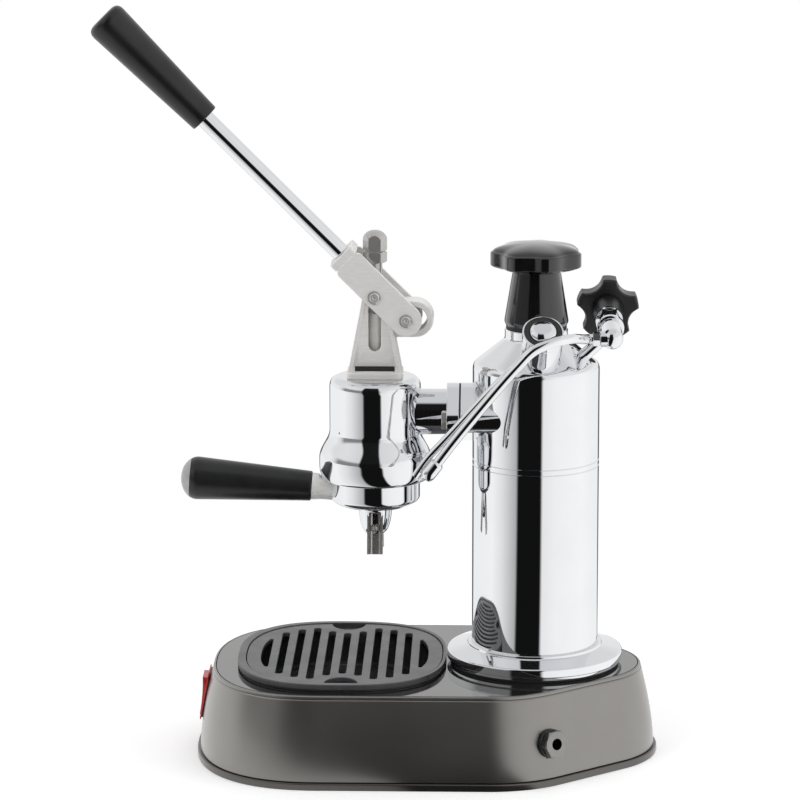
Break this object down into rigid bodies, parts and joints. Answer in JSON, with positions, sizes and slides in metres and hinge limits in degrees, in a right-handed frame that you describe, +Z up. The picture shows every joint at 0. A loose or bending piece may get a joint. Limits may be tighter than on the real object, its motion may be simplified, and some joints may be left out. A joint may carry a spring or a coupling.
{
  "type": "lever espresso machine",
  "caption": "Hand-lever espresso machine: upright boiler on a rounded base, lever-driven piston group with portafilter, swivel steam wand, screw filler cap and lift-out drip tray.",
  "frame": {"origin": "centre of the base on the plane that the machine stands on", "axes": "X from the group towards the boiler, Y away from the viewer, Z up"},
  "size_m": [0.3509, 0.1896, 0.4704],
  "materials": {
    "chrome": "mirror-polished chrome plate",
    "satin_nickel": "satin nickel plate",
    "steel": "plain turned steel",
    "brass": "machined brass",
    "copper": "bright copper",
    "gunmetal": "warm grey metallic lacquer, satin on the skirt, glossier on the deck",
    "trim": "dark moulded trim",
    "handle_black": "glossy black moulding",
    "cap_grey": "glossy dark grey moulding",
    "tray_grey": "dark grey satin moulding",
    "signal_red": "translucent red moulding",
    "rubber": "matt black rubber",
    "glass": "clear glass"
  },
  "bodies": {
    "machine": {"base_shell": "gunmetal", "bottom_cover": "trim", "switch_housing": "trim", "cable_gland": "trim", "pressure_switch": "trim", "cover_screws": "steel", "relief_spring": "steel", "shower_screen": "steel", "boiler_shell": "chrome", "boiler_flange": "chrome", "sight_fittings": "chrome", "sight_shield": "chrome", "safety_valve_body": "chrome", "safety_valve_cap": "chrome", "steam_valve_body": "chrome", "wand_nut": "chrome", "group_saddle": "chrome", "group_body": "chrome", "flange_gasket": "rubber", "group_gasket": "rubber", "portafilter_gasket": "rubber", "boiler_ring_nut": "brass", "element_plate": "brass", "cylinder_sleeve": "brass", "rod_bush": "brass", "heating_element": "copper", "dip_tube": "copper", "sight_glass": "glass", "steam_gland_nut": "satin_nickel", "group_bolts": "satin_nickel", "lever_tower": "satin_nickel"},
    "switch": {"switch_rocker": "signal_red"},
    "tray": {"drip_tray": "tray_grey"},
    "grille": {"drip_grille": "tray_grey"},
    "relief": {"relief_ball": "steel"},
    "cap_lift": {"cap_seal": "rubber"},
    "cap": {"cap_plug": "brass", "cap_knob": "handle_black"},
    "steam_lift": {"steam_seat_disc": "rubber"},
    "steam": {"steam_spindle": "steel", "steam_knob": "handle_black"},
    "wand": {"steam_wand": "chrome", "wand_tip": "chrome", "wand_side_tube": "chrome"},
    "piston": {"piston_rod": "satin_nickel", "piston_head": "brass", "piston_seals": "rubber", "rod_head": "satin_nickel", "rod_nuts": "satin_nickel", "piston_pin": "satin_nickel"},
    "lever": {"lever_fork": "satin_nickel", "lever_rod": "chrome", "lever_grip": "handle_black", "rear_pin": "satin_nickel"},
    "roller": {"rear_roller": "satin_nickel"},
    "portafilter": {"portafilter_body": "chrome", "filter_basket": "steel", "portafilter_handle": "handle_black", "handle_cap": "cap_grey", "double_spout": "chrome"}
  },
  "joints": [
    {"name": "switch_rock", "type": "hinge", "parent": "machine", "child": "switch", "pos_m": [-0.13657, 0, 0.03435], "axis": [0, 1, 0], "range_deg": [0, 12]},
    {"name": "tray_lift", "type": "slide", "parent": "machine", "child": "tray", "axis": [0, 0, 1], "range_m": [0, 0.028]},
    {"name": "grille_lift", "type": "slide", "parent": "tray", "child": "grille", "axis": [0, 0, 1], "range_m": [0, 0.025]},
    {"name": "relief_open", "type": "slide", "parent": "machine", "child": "relief", "axis": [0.0566, -0.647, 0.7604], "range_m": [0, 0.0012], "stiffness_N_per_m": 200, "springref_m": -0.01, "deforming": ["relief_spring"]},
    {"name": "cap_rise", "type": "slide", "parent": "machine", "child": "cap_lift", "axis": [0, 0, 1], "range_m": [0, 0.01201]},
    {"name": "cap_turn", "type": "hinge", "parent": "cap_lift", "child": "cap", "pos_m": [0.067, 0, 0.28], "axis": [0, 0, 1], "range_deg": [0, 2160]},
    {"name": "steam_travel", "type": "slide", "parent": "machine", "child": "steam_lift", "axis": [-0.0208, 0.9948, 0.0993], "range_m": [0, 0.00226]},
    {"name": "steam_turn", "type": "hinge", "parent": "steam_lift", "child": "steam", "pos_m": [0.11245, 0.01989, 0.27313], "axis": [-0.0208, 0.9948, 0.0993], "range_deg": [0, 540]},
    {"name": "wand_swing", "type": "hinge", "parent": "machine", "child": "wand", "pos_m": [0.10539, -0.02467, 0.26868], "axis": [-1, 0, 0], "range_deg": [0, 60]},
    {"name": "piston_slide", "type": "slide", "parent": "machine", "child": "piston", "axis": [0, 0, 1], "range_m": [-0.02829, 0.00198]},
    {"name": "lever_swing", "type": "hinge", "parent": "piston", "child": "lever", "pos_m": [-0.033, 0, 0.2919], "axis": [0, 1, 0], "range_deg": [-72, 5]},
    {"name": "roller_spin", "type": "hinge", "parent": "lever", "child": "roller", "pos_m": [-0.01348, 0, 0.27719], "axis": [0, 1, 0], "continuous": true},
    {"name": "portafilter_twist", "type": "hinge", "parent": "machine", "child": "portafilter", "pos_m": [-0.033, 0, 0.1754], "axis": [0, 0, 1], "range_deg": [-50, 0]}
  ],
  "couplings": [
    {"joint": "cap_rise", "follows": "cap_turn", "m_per_rad": 0.00031831},
    {"joint": "steam_travel", "follows": "steam_turn", "m_per_rad": 0.00023873},
    {"joint": "piston_slide", "follows": "lever_swing", "m_per_rad": 0.0225}
  ]
}
